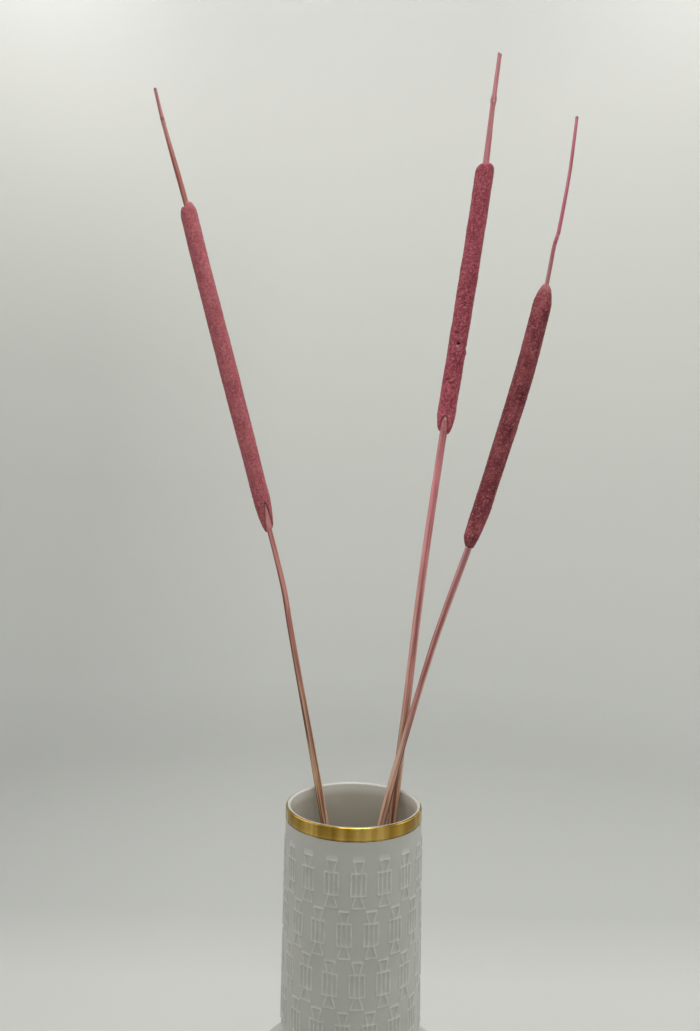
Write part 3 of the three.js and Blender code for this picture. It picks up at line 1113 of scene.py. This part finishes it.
def build_left_spike():
    """A rosy head with a long slit in its base and a nick in its top."""
    velvet = spike_material(
        "velvet_left", [srgb(150, 75, 84), srgb(172, 95, 102), srgb(194, 116, 121)],
        srgb(212, 148, 150), srgb(214, 148, 150), mottle=0.3, specks=0.25)
    spike = Spike(
        base=End(20 * MM, 1.5, 2.2 * MM, tilt=-1.8 * MM, ring=0.6),
        top=End(8 * MM, 1.65, 2.5 * MM, tilt=2.4 * MM, pale=1, pale_length=2.4 * MM),
        lumps=0.09 * MM, grain=0.16 * MM,
        notches=[
            Notch("base", -68, 15.6 * MM, 2.6 * MM, taper=0.65, depth=0.9 * MM, edge=0.85),
            Notch("top", -112, 3.4 * MM, 2 * MM, taper=0.5, depth=4 * MM, edge=0.3)])
    build_head("spike_left", "head_left", "stem_left", velvet, spike, seed=41)


def build_middle_spike():
    """A wine head, pitted in its lower third, with a short slit in its base."""
    velvet = spike_material(
        "velvet_middle", [srgb(128, 50, 66), srgb(162, 78, 91), srgb(192, 106, 115)],
        srgb(212, 140, 142), srgb(226, 146, 152), mottle=0.25, specks=0.35)
    spike = Spike(
        base=End(14 * MM, 1.8, 2.6 * MM, tilt=1.6 * MM, ring=0.5, flush=60 * MM),
        top=End(5 * MM, 2.3, 2.8 * MM, tilt=1.4 * MM, pale=1, pale_length=2.2 * MM),
        lumps=0.16 * MM, grain=0.24 * MM,
        # The stains in these pits are partly painted shade; the marks at 446.4 mm and 490 mm are painted
        # highlights.
        marks=[
            Mark(491.9 * MM, -90, 1 * MM, 2 * MM, stretch=0.9, stain_and_shade=1.6),
            Mark(498.2 * MM, -115, 1.1 * MM, 0.9 * MM, stretch=0.8, stain_and_shade=0.8),
            Mark(491 * MM, -10, 1.6 * MM, 0.8 * MM, stretch=0.7, stain_and_shade=0.35),
            Mark(488.5 * MM, -5, 2.2 * MM, -0.45 * MM),
            Mark(469.5 * MM, -120, 1.5 * MM, 0.6 * MM, stretch=0.6, stain_and_shade=0.5),
            Mark(467.5 * MM, -95, 1.5 * MM, 0.7 * MM, stretch=0.6, stain_and_shade=0.6),
            Mark(465 * MM, -70, 1.8 * MM, 0.5 * MM, stretch=0.4, stain_and_shade=0.35),
            Mark(446.4 * MM, -93, 0.45 * MM, stretch=1.3, shine=1.2),
            Mark(490 * MM, -95, 0.7 * MM, shine=0.5)],
        notches=[Notch("base", -101, 8.3 * MM, 2.5 * MM, taper=0.33, depth=0.7 * MM, edge=0.9)])
    build_head("spike_middle", "head_middle", "stem_middle", velvet, spike, seed=51)


def build_right_spike():
    """A brown head with a long taper at both ends."""
    velvet = spike_material(
        "velvet_right", [srgb(95, 39, 48), srgb(130, 62, 70), srgb(164, 91, 95)],
        srgb(206, 140, 140), srgb(150, 90, 90), mottle=0.5, specks=0.4)
    spike = Spike(
        # pale=0.2 on the base is painted light.
        base=End(16.5 * MM, 1.35, 1.9 * MM, tilt=-0.6 * MM, skew=0.6, shift=0.5 * MM, ring=0.9,
                 pale=0.2, flush=45 * MM),
        top=End(14 * MM, 1.45, 1.6 * MM, tilt=-0.6 * MM, pale=1, pale_length=9 * MM,
                flush=45 * MM),
        lumps=0.1 * MM, grain=0.26 * MM)
    build_head("spike_right", "head_right", "stem_right", velvet, spike, seed=61)


# ---- the stage, the lamps and the camera


def build_stage():
    """A round sweep: a flat floor that curves up into a wall on every side."""
    curve = STAGE_WALL - STAGE_FLOOR
    turns = np.linspace(0, math.pi / 2, 14)
    profile = [(share * STAGE_FLOOR, 0) for share in (0.05, 0.3, 0.6, 0.85)]
    profile += [(STAGE_FLOOR + curve * math.sin(t), curve * (1 - math.cos(t))) for t in turns]
    profile += [(STAGE_WALL, height) for height in np.linspace(curve, STAGE_HEIGHT, 8)[1:]]
    points = [(reach * math.cos(angle), reach * math.sin(angle), height)
              for reach, height in profile for angle in once_round(STAGE_SIDES)]
    faces = [face[::-1] for face in ring_faces(len(profile), STAGE_SIDES)]
    faces += end_faces(0, STAGE_SIDES, len(points), top=True)
    points.append((0, 0, 0))
    stage = add_mesh("stage", np.array(points), faces, stage_material())


def hang_lamp(name, place, target, size, power, spread=180):
    """A soft square lamp aimed at a point, unseen by the camera; its spread is in degrees."""
    data = bpy.data.lights.new(name, "AREA")
    data.size, data.energy, data.spread = size, power, math.radians(spread)
    lamp = add_object(name, data)
    lamp.location = place
    lamp.rotation_euler = (Vector(target) - Vector(place)).to_track_quat("-Z", "Y").to_euler()
    lamp.visible_camera = False


def light_room():
    """A faint even light from all sides, and the lamps."""
    world = bpy.data.worlds.new("room")
    world.use_nodes = True
    background = world.node_tree.nodes["Background"]
    background.inputs["Color"].default_value = ROOM_COLOUR
    background.inputs["Strength"].default_value = ROOM_LIGHT
    bpy.context.scene.world = world
    bpy.context.scene.view_settings.view_transform = "Standard"
    hang_lamp("overhead", (0, 0.25, 2.2), (0, 0.1, 0), 1.4, 9)
    hang_lamp("close_top", (0.02, -0.15, 1.25), (0.02, 0, 0.3), 0.5, 4)
    hang_lamp("upper_left", (-0.9, 0.35, 2), (-0.5, 1.2, 1.3), 0.6, 2)
    hang_lamp("corner_left", (-0.5, 0.7, 1.95), (-0.7, 1.2, 1.58), 0.2, 0.15, spread=60)
    hang_lamp("corner_right", (0.55, 0.65, 1.95), (0.78, 1.15, 1.55), 0.2, 0.22, spread=70)
    hang_lamp("side_left", (-1.2, 0.3, 0.9), (0, 0, 0.3), 0.7, 2)
    hang_lamp("side_right", (1.2, 0.25, 0.9), (0, 0, 0.3), 0.7, 3)


def add_camera():
    """The camera, in front of the stems, turned up and rolled by about a degree."""
    data = bpy.data.cameras.new("camera")
    data.lens, data.sensor_width = CAMERA_LENS, CAMERA_SENSOR
    camera = add_object("camera", data)
    pitch = Matrix.Rotation(math.pi / 2 + CAMERA_PITCH, 4, "X")
    roll = Matrix.Rotation(CAMERA_ROLL, 4, "Z")
    camera.matrix_world = Matrix.Translation(CAMERA_PLACE) @ pitch @ roll
    bpy.context.scene.camera = camera


add_camera()
light_room()
build_stage()
build_vase()
build_gilding()
build_left_culm()
build_middle_culm()
build_right_culm()
build_left_spike()
build_middle_spike()
build_right_spike()
